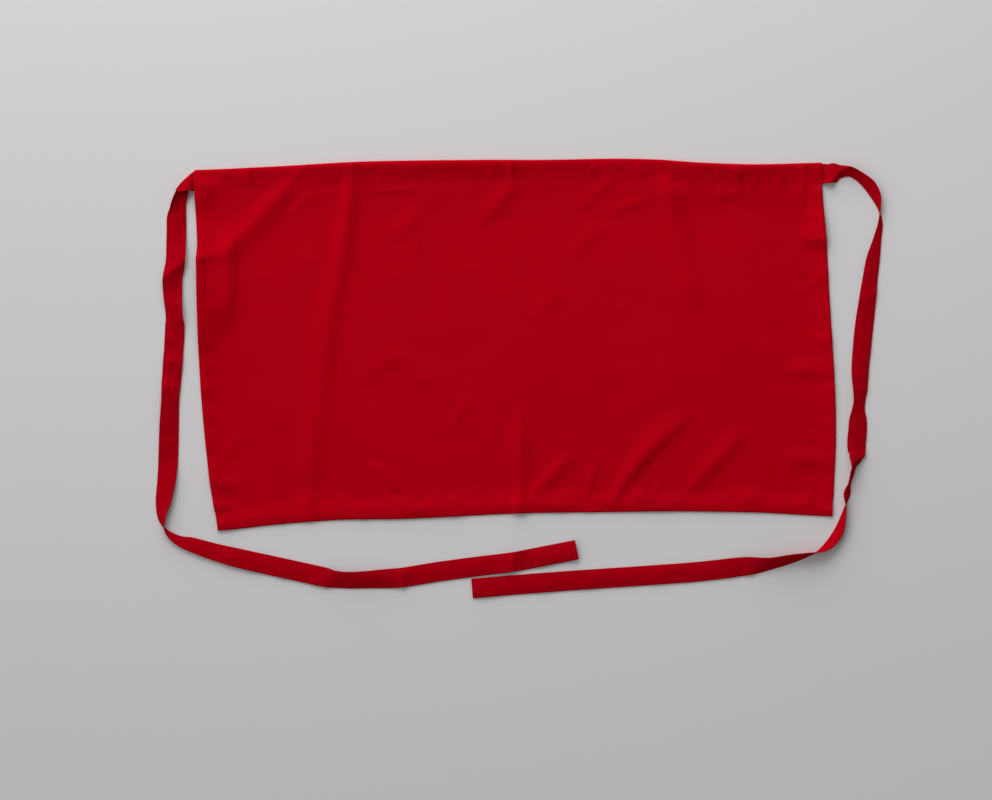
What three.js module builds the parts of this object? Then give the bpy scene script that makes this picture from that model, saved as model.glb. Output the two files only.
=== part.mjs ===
// A quarter apron lying flat, as put down on a table: a hemmed panel, a waistband folded over its top edge,
// and two long ties sewn into the waistband's ends. Millimetres, +Z up, the table at z = 0.
// +X runs to the apron's right along the waist, +Y up the drop, and the origin is the middle of the table
// area that the apron covers.

import * as THREE from 'three';

// Driving dimensions
const WAIST_WIDTH = 700;
const DROP = 400;
const CLOTH = 1.0;
const SIDE_HEM = 12;
const BOTTOM_HEM = 20;
const BAND_HEIGHT = 23.5;
const TIE_WIDTH = 22;
const TIE_INSERT = 20;
const TIE_FLAT_START = 3;
// A limp strip set on edge sinks in on itself to this share of its width
const TIE_STAND = 0.6;
const SEAM_ALLOWANCE = 11;
const CLEARANCE = 0.3;
const RED_CLOTH = 0x9c0212;

// The waistband is one folded strip: a lower layer, a slot for what is sewn into it, and an upper layer
const SLOT = CLOTH + 2 * CLEARANCE;
const BAND_THICKNESS = 2 * CLOTH + SLOT;
const SEAT = CLOTH + CLEARANCE;
const BAND_ROUNDING = 1.2;
const SLOT_ROUNDING = 0.4;

// How far the panel needs to come down from the waistband's slot to the table
const SEAM_FALL = 16;

// Where the panel's four corners lie on the table
const CORNERS = {
  topLeft: new THREE.Vector2(-361.3, 231.9),
  topRight: new THREE.Vector2(338.2, 240.0),
  bottomLeft: new THREE.Vector2(-336.2, -170.6),
  bottomRight: new THREE.Vector2(351.0, -154.4),
};

// How far each edge bows out from the straight line between its corners: share along it, and millimetres.
// Top and bottom edges count left to right and upwards; side edges count downwards and away from the middle.
const TOP_EDGE = [
  { along: 0, out: 0 },
  { along: 0.13, out: 3.0 },
  { along: 0.27, out: 7.2 },
  { along: 0.45, out: 7.6 },
  { along: 0.56, out: 6.8 },
  { along: 0.67, out: 7.2 },
  { along: 0.74, out: 5.6 },
  { along: 0.8, out: 2.0 },
  { along: 0.89, out: -0.9 },
  { along: 1, out: 0 },
];
const BOTTOM_EDGE = [
  { along: 0, out: 0 },
  { along: 0.1, out: 5.5 },
  { along: 0.2, out: 8.9 },
  { along: 0.31, out: 8.4 },
  { along: 0.49, out: 11.4 },
  { along: 0.62, out: 10.6 },
  { along: 0.75, out: 9.5 },
  { along: 0.88, out: 6.0 },
  { along: 1, out: 0 },
];
const LEFT_EDGE = [
  { along: 0, out: 0 },
  { along: 0.05, out: 2.0 },
  { along: 0.2, out: 2.2 },
  { along: 0.25, out: 4.6 },
  { along: 0.36, out: 6.7 },
  { along: 0.5, out: 8.5 },
  { along: 0.65, out: 8.6 },
  { along: 0.86, out: 5.4 },
  { along: 1, out: 0 },
];
const RIGHT_EDGE = [
  { along: 0, out: 0 },
  { along: 0.07, out: -0.4 },
  { along: 0.22, out: 2.6 },
  { along: 0.39, out: 4.1 },
  { along: 0.56, out: 6.1 },
  { along: 0.67, out: 6.8 },
  { along: 0.78, out: 6.1 },
  { along: 0.9, out: 2.7 },
  { along: 1, out: 0 },
];

// The panel's main folds, each a ridge from one place to another. A place is a share of the width and a share
// of the drop; the rises at the two ends and the width of the flanks are millimetres.
const FOLDS = [
  { fold: 'left quarter', from: [0.247, 0.08], to: [0.165, 0.87], rise: [3.2, 1.4], flank: 26 },
  { fold: 'centre, top', from: [0.502, 0.06], to: [0.502, 0.18], rise: [2.4, 0.8], flank: 20 },
  { fold: 'centre, hem', from: [0.495, 0.7], to: [0.494, 0.97], rise: [1.6, 2.2], flank: 20 },
  { fold: 'right quarter', from: [0.765, 0.08], to: [0.792, 0.42], rise: [2.8, 1.4], flank: 26 },
  { fold: 'top left corner', from: [0.143, 0.08], to: [0.03, 0.233], rise: [3.2, 3.0], flank: 22 },
  { fold: 'arch, left leg', from: [0.262, 0.59], to: [0.3, 0.545], rise: [1.6, 2.2], flank: 18 },
  { fold: 'arch, right leg', from: [0.3, 0.545], to: [0.365, 0.64], rise: [2.2, 1.2], flank: 18 },
  { fold: 'hem fan, long', from: [0.749, 0.74], to: [0.66, 0.915], rise: [2.6, 3.0], flank: 22 },
  { fold: 'hem fan, right', from: [0.834, 0.767], to: [0.788, 0.887], rise: [1.8, 2.2], flank: 22 },
  { fold: 'hem fan, left', from: [0.574, 0.856], to: [0.541, 0.934], rise: [1.6, 1.8], flank: 18 },
];

// The ties' routes from the waistband's ends: the middle of the strip on the table, its roll (the angle by
// which its left-hand edge, seen along the route, is turned up) and the lift of its lower edge off the table.
const LEFT_TIE = [
  // Turns down the panel's side and buckles at the corner
  { x: -369, y: 218.9, roll: 46, lift: 0.5 },
  { x: -374.2, y: 214.2, roll: 62, lift: 0 },
  { x: -376.4, y: 207, roll: 56, lift: 0 },
  { x: -379, y: 199, roll: 36, lift: 0 },
  { x: -380.6, y: 190, roll: 14, lift: 0 },
  { x: -381, y: 176, roll: 0, lift: 0 },
  // Runs down the side, over a sharp crease
  { x: -382, y: 154, roll: 0, lift: 2.5 },
  { x: -383.5, y: 129, roll: 0, lift: 6.0 },
  { x: -384.5, y: 121, roll: 0, lift: 7.0 },
  { x: -386, y: 112, roll: 0, lift: 3.5 },
  { x: -386.5, y: 98, roll: 0, lift: 0.5 },
  { x: -386, y: 79, roll: -27, lift: 0 },
  { x: -384, y: 56, roll: 0, lift: 1.0 },
  { x: -386, y: 29, roll: 0, lift: 0 },
  { x: -387.5, y: 0, roll: 0, lift: 0 },
  { x: -389, y: -25, roll: -28, lift: 0 },
  { x: -390, y: -58, roll: -18, lift: 0 },
  { x: -391, y: -91, roll: 0, lift: 0 },
  // Stands up on its outer edge and turns over in the bend
  { x: -393, y: -116, roll: 18, lift: 0 },
  { x: -396, y: -136, roll: 34, lift: 0 },
  { x: -398, y: -150, roll: 56, lift: 0 },
  { x: -397.5, y: -159, roll: 70, lift: 0 },
  { x: -395, y: -167.5, roll: 90, lift: 0 },
  { x: -389, y: -175, roll: 108, lift: 0 },
  { x: -378, y: -182, roll: 122, lift: 0 },
  { x: -365, y: -186, roll: 138, lift: 0 },
  { x: -338, y: -194.5, roll: 151, lift: 0 },
  { x: -311, y: -201.5, roll: 168, lift: 0 },
  // Lies face down along the bottom, with two soft creases
  { x: -266, y: -211.5, roll: 178, lift: 0 },
  { x: -220, y: -221.5, roll: 180, lift: 1.5 },
  { x: -194, y: -225, roll: 205, lift: 0 },
  { x: -164, y: -224, roll: 196, lift: 0 },
  { x: -131, y: -222.5, roll: 180, lift: 0 },
  { x: -88, y: -216, roll: 180, lift: 0 },
  { x: -43, y: -210, roll: 180, lift: 0 },
  { x: -7, y: -205.5, roll: 180, lift: 2.5 },
  { x: 30, y: -198.5, roll: 180, lift: 0 },
  { x: 65, y: -191.5, roll: 180, lift: 0 },
];
const RIGHT_TIE = [
  // Comes out flat, then stands up on its inner edge round the corner
  { x: 348, y: 228.5, roll: 4, lift: 1.0 },
  { x: 359, y: 230.5, roll: 46, lift: 0 },
  { x: 370, y: 230, roll: 61, lift: 0 },
  { x: 381, y: 224, roll: 61, lift: 0 },
  { x: 392, y: 214, roll: 52, lift: 0 },
  { x: 398.5, y: 203, roll: 61, lift: 0 },
  { x: 401, y: 193, roll: 78, lift: 0 },
  { x: 402, y: 185, roll: 90, lift: 0 },
  // Turns over and lies down along the panel's side
  { x: 402.5, y: 172, roll: 104, lift: 0 },
  { x: 399.5, y: 154, roll: 115, lift: 0 },
  { x: 395, y: 132, roll: 135, lift: 0 },
  { x: 391, y: 109, roll: 150, lift: 0 },
  { x: 387, y: 76, roll: 164, lift: 0 },
  { x: 383.5, y: 42, roll: 178, lift: 0 },
  { x: 380.5, y: 9, roll: 170, lift: 0.5 },
  { x: 380, y: -25, roll: 138, lift: 0 },
  { x: 378.5, y: -43, roll: 142, lift: 0 },
  { x: 378, y: -58, roll: 175, lift: 1.5 },
  { x: 377, y: -78, roll: 174, lift: 1.5 },
  // Stands on edge round the lower corner, leaning one way and then the other
  { x: 373.5, y: -94, roll: 122, lift: 0.5 },
  { x: 371, y: -106, roll: 103, lift: 0 },
  { x: 368.5, y: -118, roll: 100, lift: 0 },
  { x: 365, y: -132, roll: 105, lift: 0 },
  { x: 364.5, y: -143, roll: 90, lift: 0 },
  { x: 362, y: -155, roll: 77, lift: 0 },
  { x: 357.5, y: -170, roll: 64, lift: 0 },
  { x: 349.5, y: -182.5, roll: 64, lift: 0 },
  { x: 341, y: -190, roll: 74, lift: 0 },
  { x: 333, y: -194, roll: 90, lift: 0 },
  { x: 321, y: -197.5, roll: 104, lift: 0 },
  { x: 303, y: -202, roll: 119, lift: 0 },
  { x: 278.5, y: -207.5, roll: 132, lift: 0 },
  // Lies face down along the bottom
  { x: 249.5, y: -210.5, roll: 166, lift: 0 },
  { x: 202.5, y: -216, roll: 180, lift: 0 },
  { x: 135.5, y: -221, roll: 180, lift: 0 },
  { x: 68.5, y: -225.5, roll: 180, lift: 0 },
  { x: 1.5, y: -230.5, roll: 180, lift: 0 },
  { x: -52, y: -235, roll: 180, lift: 0 },
];

// Mesh spacing: cloth cells, and steps between two rows of a tie's route
const CELL = 13.5;
const BAND_STEPS = 52;
const TIE_STEPS = 3;

const UP = new THREE.Vector3(0, 0, 1);

function smooth(share) {
  return THREE.MathUtils.smoothstep(share, 0, 1);
}

// A smooth curve through evenly numbered values: place 2.5 is half way from the third to the fourth
function between(values, place) {
  const first = Math.min(Math.floor(place), values.length - 2);
  const at = (index) => values[THREE.MathUtils.clamp(index, 0, values.length - 1)];
  const t = place - first;
  const enter = (at(first + 1) - at(first - 1)) / 2;
  const leave = (at(first + 2) - at(first)) / 2;
  const rise = at(first + 1) - at(first);
  return at(first) + t * (enter + t * (3 * rise - 2 * enter - leave + t * (enter + leave - 2 * rise)));
}

function bow(edge, along) {
  let row = 0;
  while (row < edge.length - 2 && edge[row + 1].along <= along) row += 1;
  const share = (along - edge[row].along) / (edge[row + 1].along - edge[row].along);
  return between(edge.map((point) => point.out), row + share);
}

// The place on the table of a point of the flat apron, given as shares of its width and drop: the four bowed
// edges are blended across the panel
function place(across, down) {
  const { topLeft, topRight, bottomLeft, bottomRight } = CORNERS;
  const top = topLeft.clone().lerp(topRight, across);
  const bottom = bottomLeft.clone().lerp(bottomRight, across);
  const spot = top.lerp(bottom, down);
  spot.y += (1 - down) * bow(TOP_EDGE, across) + down * bow(BOTTOM_EDGE, across);
  spot.x += across * bow(RIGHT_EDGE, down) - (1 - across) * bow(LEFT_EDGE, down);
  return spot;
}

// How far one fold lifts the cloth at a spot on the table
function foldLift(fold, spot) {
  const start = place(...fold.from);
  const run = place(...fold.to).sub(start);
  const length = run.length();
  run.divideScalar(length);
  const from = spot.clone().sub(start);
  const along = THREE.MathUtils.clamp(from.dot(run), 0, length);
  const reach = from.sub(run.clone().multiplyScalar(along)).length() / fold.flank;
  if (reach >= 1) return 0;
  const rise = THREE.MathUtils.lerp(...fold.rise, along / length);
  return rise * (1 - reach * reach) ** 2;
}

// Height of the panel's underside: it leaves the waistband's slot, comes down to the table and rises in folds
function underside(across, drop) {
  const clear = smooth((drop - BAND_HEIGHT) / SEAM_FALL);
  const spot = place(across, drop / DROP);
  const folds = FOLDS.reduce((lift, fold) => lift + foldLift(fold, spot), 0);
  return SEAT * (1 - clear) + folds * clear;
}

function solid(points, faces) {
  const geometry = new THREE.BufferGeometry();
  geometry.setAttribute('position', new THREE.Float32BufferAttribute(points.flatMap((p) => p.toArray()), 3));
  geometry.setIndex(faces.flat());
  geometry.computeVertexNormals();
  return geometry;
}

// Even steps between two sizes, both ends included
function steps(from, to, spacing) {
  const count = Math.round((to - from) / spacing);
  return Array.from({ length: count + 1 }, (_, index) => from + ((to - from) * index) / count);
}

function panelGeometry() {
  const hemStep = 1.5;
  const notch = TIE_INSERT + 2 * CLEARANCE;
  const mouth = BAND_HEIGHT + CLEARANCE;
  const left = [0, SIDE_HEM, SIDE_HEM + hemStep];
  const columns = [
    ...left,
    ...steps(notch, WAIST_WIDTH - notch, CELL),
    ...left.map((size) => WAIST_WIDTH - size).reverse(),
  ];
  const hemTop = DROP - BOTTOM_HEM;
  const rows = [
    BAND_HEIGHT - SEAM_ALLOWANCE,
    mouth,
    mouth + SEAM_FALL / 2,
    ...steps(mouth + SEAM_FALL, hemTop - hemStep, CELL),
    hemTop,
    DROP,
  ];
  const inHem = (size, drop) =>
    drop > mouth && (size <= SIDE_HEM || size >= WAIST_WIDTH - SIDE_HEM || drop >= hemTop);
  const points = [];
  for (const drop of rows) {
    for (const size of columns) {
      const spot = place(size / WAIST_WIDTH, drop / DROP);
      const low = underside(size / WAIST_WIDTH, drop);
      const thickness = inHem(size, drop) ? 2 * CLOTH : CLOTH;
      points.push(new THREE.Vector3(spot.x, spot.y, low), new THREE.Vector3(spot.x, spot.y, low + thickness));
    }
  }

  // The seam allowance in the waistband stops short of the tie ends, so the first row has fewer cells
  const lowPoint = (column, row) => 2 * (row * columns.length + column);
  const isCloth = (column, row) => {
    if (column < 0 || row < 0 || column >= columns.length - 1 || row >= rows.length - 1) return false;
    const inside = columns[column] >= notch && columns[column + 1] <= WAIST_WIDTH - notch;
    return row > 0 || inside;
  };
  const faces = [];
  const wall = (from, to) => faces.push([to + 1, from + 1, from], [to + 1, from, to]);
  for (let row = 0; row < rows.length - 1; row += 1) {
    for (let column = 0; column < columns.length - 1; column += 1) {
      if (!isCloth(column, row)) continue;
      const a = lowPoint(column, row);
      const b = lowPoint(column, row + 1);
      const c = lowPoint(column + 1, row + 1);
      const d = lowPoint(column + 1, row);
      faces.push([a + 1, b + 1, c + 1], [a + 1, c + 1, d + 1], [c, b, a], [d, c, a]);
      if (!isCloth(column - 1, row)) wall(a, b);
      if (!isCloth(column, row + 1)) wall(b, c);
      if (!isCloth(column + 1, row)) wall(c, d);
      if (!isCloth(column, row - 1)) wall(d, a);
    }
  }
  const used = [...new Set(faces.flat())];
  const renumbered = new Map(used.map((point, index) => [point, index]));
  const usedPoints = used.map((point) => points[point]);
  return solid(usedPoints, faces.map((face) => face.map((point) => renumbered.get(point))));
}

// A closed solid with one section swept through stations. Each station has a middle and two directions,
// across and up, that make a right-handed set with the way the sweep runs; the section is counter-clockwise.
function sweep(section, stations) {
  const points = stations.flatMap(({ middle, across, up }) =>
    section.map((corner) => middle.clone().addScaledVector(across, corner.x).addScaledVector(up, corner.y)));
  const count = section.length;
  const faces = [];
  for (let station = 0; station < stations.length - 1; station += 1) {
    for (let corner = 0; corner < count; corner += 1) {
      const next = (corner + 1) % count;
      const a = station * count + corner;
      const b = station * count + next;
      // Sides that run back across the section split along the other diagonal, so that the two sides of a
      // twisted wall stay parallel
      const back = section[next].x < section[corner].x;
      if (back) faces.push([a, b, a + count], [b, b + count, a + count]);
      else faces.push([a, b, b + count], [a, b + count, a + count]);
    }
  }
  const last = (stations.length - 1) * count;
  for (const [a, b, c] of THREE.ShapeUtils.triangulateShape(section, [])) {
    const turn = section[b].clone().sub(section[a]).cross(section[c].clone().sub(section[a]));
    const cap = turn > 0 ? [a, b, c] : [a, c, b];
    faces.push(cap.map((corner) => corner + last), cap.toReversed());
  }
  return solid(points, faces);
}

// The waistband's section, from its top fold down: one strip bent round the slot that holds the panel's edge
function waistbandGeometry() {
  const upperLayer = CLOTH + SLOT;
  const section = [
    [BAND_ROUNDING, 0],
    [BAND_HEIGHT, 0],
    [BAND_HEIGHT, CLOTH],
    [CLOTH + SLOT_ROUNDING, CLOTH],
    [CLOTH, CLOTH + SLOT_ROUNDING],
    [CLOTH, upperLayer - SLOT_ROUNDING],
    [CLOTH + SLOT_ROUNDING, upperLayer],
    [BAND_HEIGHT, upperLayer],
    [BAND_HEIGHT, BAND_THICKNESS],
    [BAND_ROUNDING, BAND_THICKNESS],
    [0, BAND_THICKNESS - BAND_ROUNDING],
    [0, BAND_ROUNDING],
  ].map(([drop, height]) => new THREE.Vector2(drop, height));
  const stations = [];
  for (let step = BAND_STEPS; step >= 0; step -= 1) {
    const top = place(step / BAND_STEPS, 0);
    const down = place(step / BAND_STEPS, BAND_HEIGHT / DROP).sub(top).normalize();
    stations.push({
      middle: new THREE.Vector3(top.x, top.y, 0),
      across: new THREE.Vector3(down.x, down.y, 0),
      up: UP,
    });
  }
  return sweep(section, stations);
}

// The flat start of a tie's route: its sewn end, where it comes out of the waistband, and a little beyond
function sewnRows(side) {
  const drop = (CLOTH + CLEARANCE + TIE_WIDTH / 2) / DROP;
  const end = side === 'left' ? 0 : 1;
  const inward = side === 'left' ? 1 : -1;
  return [TIE_INSERT, 0, -TIE_FLAT_START].map((depth) => {
    const spot = place(end + (inward * depth) / WAIST_WIDTH, drop);
    return { x: spot.x, y: spot.y, roll: 0, lift: SEAT };
  });
}

function tieGeometry(side, route) {
  const rows = [...sewnRows(side), ...route];
  const half = new THREE.Vector2(TIE_WIDTH / 2, CLOTH / 2);
  const signs = [[-1, -1], [1, -1], [1, 1], [-1, 1]];
  const section = signs.map(([x, y]) => new THREE.Vector2(x, y).multiply(half));
  const middleLine = new THREE.CatmullRomCurve3(rows.map((row) => new THREE.Vector3(row.x, row.y, 0)));
  const rolls = rows.map((row) => THREE.MathUtils.degToRad(row.roll));
  const lifts = rows.map((row) => row.lift);
  const stations = [];
  for (let step = 0; step <= (rows.length - 1) * TIE_STEPS; step += 1) {
    const along = step / TIE_STEPS;
    const share = along / (rows.length - 1);
    const roll = between(rolls, along);
    const lift = Math.max(0, between(lifts, along));
    const middle = middleLine.getPoint(share);
    const leftward = UP.clone().cross(middleLine.getTangent(share)).normalize();
    const spread = Math.cos(roll);
    const rise = TIE_STAND * Math.sin(roll);
    const across = leftward.clone().multiplyScalar(spread).addScaledVector(UP, rise);
    const up = UP.clone().multiplyScalar(spread).addScaledVector(leftward, -rise).normalize();
    middle.z = lift + half.x * Math.abs(rise) + half.y * Math.abs(up.z);
    stations.push({ middle, across, up });
  }
  return sweep(section, stations);
}

function clothPiece(name, geometry) {
  const material = new THREE.MeshStandardMaterial({ color: RED_CLOTH, roughness: 0.9, metalness: 0 });
  const mesh = new THREE.Mesh(geometry, material);
  mesh.name = name;
  return mesh;
}

const apron = new THREE.Group();
apron.name = 'quarter_apron';
apron.add(
  clothPiece('panel', panelGeometry()),
  clothPiece('waistband', waistbandGeometry()),
  clothPiece('tie_left', tieGeometry('left', LEFT_TIE)),
  clothPiece('tie_right', tieGeometry('right', RIGHT_TIE)),
);

export default apron;
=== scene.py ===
import math

import bpy
import numpy as np
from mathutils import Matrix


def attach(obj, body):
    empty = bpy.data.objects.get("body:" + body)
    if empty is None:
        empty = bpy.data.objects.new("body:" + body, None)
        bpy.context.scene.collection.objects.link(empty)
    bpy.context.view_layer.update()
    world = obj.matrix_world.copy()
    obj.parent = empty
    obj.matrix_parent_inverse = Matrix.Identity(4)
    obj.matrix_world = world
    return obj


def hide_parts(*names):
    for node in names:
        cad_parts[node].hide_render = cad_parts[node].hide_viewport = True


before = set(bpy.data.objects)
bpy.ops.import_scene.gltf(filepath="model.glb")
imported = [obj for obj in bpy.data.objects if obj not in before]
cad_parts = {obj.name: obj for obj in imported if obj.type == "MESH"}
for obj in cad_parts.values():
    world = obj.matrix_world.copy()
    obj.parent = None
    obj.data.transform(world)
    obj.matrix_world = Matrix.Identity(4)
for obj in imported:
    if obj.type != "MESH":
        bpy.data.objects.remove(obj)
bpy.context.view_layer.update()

# Camera
# It looks straight down on the laid apron, with the waistband at the top of the picture.
# It stands well back behind a long lens, so that a tie that stands on edge hardly leans in the picture.
VIEW_WIDTH = 1.1075
VIEW_MIDDLE = (-0.0252, -0.0246)
CAMERA_HEIGHT = 3.6

bpy.ops.object.camera_add(location=(*VIEW_MIDDLE, CAMERA_HEIGHT), rotation=(0, 0, 0))
camera = bpy.context.object
camera.name = "camera"
camera.data.sensor_width = 36
camera.data.lens = camera.data.sensor_width * CAMERA_HEIGHT / VIEW_WIDTH
bpy.context.scene.camera = camera

# Table and light
# The apron lies on a flat board in pale, slightly cool satin paint.
# A large soft light stands low beyond the top edge, a weaker one on the left, and pale walls fill in.
TABLE_WIDTH = 12.0
TABLE_TOP = -0.0002
KEY_PLACE = (-0.5, 2.45, 1.27)
KEY_WIDTH = 2.6
KEY_POWER = 85
SIDE_PLACE = (-2.0, 0.4, 1.5)
SIDE_TURN = math.radians(168)
SIDE_HEIGHT = math.radians(32)
SIDE_SPREAD = math.radians(90)
SIDE_STRENGTH = 1.1
WALL_LIGHT = 0.19


def linear(hex_colour):
    """The linear colour of an sRGB hex value"""
    shares = [int(hex_colour[start:start + 2], 16) / 255 for start in (1, 3, 5)]
    return [s / 12.92 if s <= 0.04045 else ((s + 0.055) / 1.055) ** 2.4 for s in shares] + [1.0]


def add_node(material, kind, links={}, sockets={}, **settings):
    """Adds one shader node with its settings, socket values and incoming links"""
    node = material.node_tree.nodes.new("ShaderNode" + kind)
    for name, value in settings.items():
        setattr(node, name, value)
    for name, value in sockets.items():
        node.inputs[name].default_value = value
    for name, source in links.items():
        material.node_tree.links.new(source, node.inputs[name])
    return node


def new_material(name):
    """An empty material with its output, ready for a shader"""
    material = bpy.data.materials.new(name)
    material.use_nodes = True
    material.node_tree.nodes.clear()
    return material


bpy.ops.mesh.primitive_plane_add(size=TABLE_WIDTH, location=(0, 0, TABLE_TOP))
table = bpy.context.object
table.name = "table"
# Satin emulsion on board: even, with a faint orange-peel texture of some millimetres
paint = new_material("pale_satin_paint")
coords = add_node(paint, "TexCoord")
peel = add_node(paint, "TexNoise", {"Vector": coords.outputs["Object"]}, {"Scale": 160.0, "Detail": 2.0})
relief = add_node(paint, "Bump", {"Height": peel.outputs["Fac"]}, {"Strength": 0.1, "Distance": 0.0004})
surface = add_node(paint, "BsdfPrincipled", {"Normal": relief.outputs["Normal"]},
                   {"Base Color": linear("#DAD8D9"), "Roughness": 0.7, "Specular IOR Level": 0.2})
add_node(paint, "OutputMaterial", {"Surface": surface.outputs["BSDF"]})
table.data.materials.append(paint)

bpy.ops.object.light_add(type="AREA", location=KEY_PLACE)
key_light = bpy.context.object
key_light.name = "key_light"
key_light.data.size = KEY_WIDTH
key_light.data.energy = KEY_POWER
key_light.rotation_euler = (-key_light.location).to_track_quat("-Z", "Y").to_euler()
bpy.ops.object.light_add(type="SUN", location=SIDE_PLACE)
side_light = bpy.context.object
side_light.name = "side_light"
side_light.data.angle = SIDE_SPREAD
side_light.data.energy = SIDE_STRENGTH
side_light.rotation_euler = (math.pi / 2 - SIDE_HEIGHT, 0, SIDE_TURN + math.pi / 2)

walls = bpy.data.worlds.new("pale_walls")
walls.use_nodes = True
walls.node_tree.nodes["Background"].inputs["Color"].default_value = (1.0, 1.0, 1.0, 1.0)
walls.node_tree.nodes["Background"].inputs["Strength"].default_value = WALL_LIGHT
bpy.context.scene.world = walls
bpy.context.scene.view_settings.view_transform = "Standard"

# Panel
# One rectangle of red poly-cotton, with its sides and its bottom edge turned under and stitched as hems.
# It lies on the table with the creases of having been folded up, and its top edge goes into the waistband.
# Its sizes, and those of all cloth below, are in millimetres.
MM = 0.001
WAIST_WIDTH = 700.0
DROP = 400.0
CLOTH = 0.4
SIDE_HEM = 12.0
BOTTOM_HEM = 20.0
SEAM_ALLOWANCE = 11.0
BAND_HEIGHT = 23.5
PANEL_REST = 0.3
# Hems: the radius of the fold, how far the turned layer stops short, and where they puff up
TURN_RADIUS = 0.45
HEM_SHORT = 1.0
HEM_FADE = 8.0
# Each tie is sewn into an end of the waistband, and the cloth bulges over it
TIE_INSERT = 20.0
TIE_BULGE = 0.65
TIE_BULGE_END = TIE_INSERT + 6
TIE_BULGE_SLOPE = 8.0
# At the waistband's seam the cloth is held up, tucked in under the band's edge, and gathered
SEAM_RISE = 1.9
SEAM_FALL = 50.0
SEAM_TUCK = 0.85
TUCK_START = 0.06
TUCK_END = 0.18
SEAM_LEAN = 0.55
SEAM_CLEAR = 14.0
GATHERS_START = 548.0
GATHERS_LENGTH = 130.0
# Where the hems' stitching lies, in from the folded edge, and the groove that it pulls into the cloth
SIDE_STITCH = 10.0
BOTTOM_STITCH = 17.5
GROOVE_DEPTH = 0.06
GROOVE_HALF = 1.8
GROOVE_FADE = 4.0
PANEL_RED = "#B40114"

# Where the corners lie on the table, and how far each edge bows out from the line between them: share along
# the edge, millimetres. Top and bottom count left to right and upwards, sides downwards and outwards.
TOP_LEFT, TOP_RIGHT = np.array((-361.3, 231.9)), np.array((338.2, 240.0))
BOTTOM_LEFT, BOTTOM_RIGHT = np.array((-336.2, -170.6)), np.array((351.0, -154.4))
TOP_EDGE = ((0, 0), (0.13, 3.0), (0.27, 7.2), (0.45, 7.6), (0.56, 6.8), (0.67, 7.2), (0.74, 5.6), (0.8, 2.0),
            (0.89, -0.9), (1, 0))
BOTTOM_EDGE = ((0, 0), (0.1, 5.5), (0.2, 8.9), (0.31, 8.4), (0.49, 11.4), (0.62, 10.6), (0.75, 9.5),
               (0.88, 6.0), (1, 0))
LEFT_EDGE = ((0, 0), (0.05, 2.0), (0.2, 2.2), (0.25, 4.6), (0.36, 6.7), (0.5, 8.5), (0.65, 8.6), (0.86, 5.4),
             (1, 0))
RIGHT_EDGE = ((0, 0), (0.07, -0.4), (0.22, 2.6), (0.39, 4.1), (0.56, 6.1), (0.67, 6.8), (0.78, 6.1),
              (0.9, 2.7), (1, 0))

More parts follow.
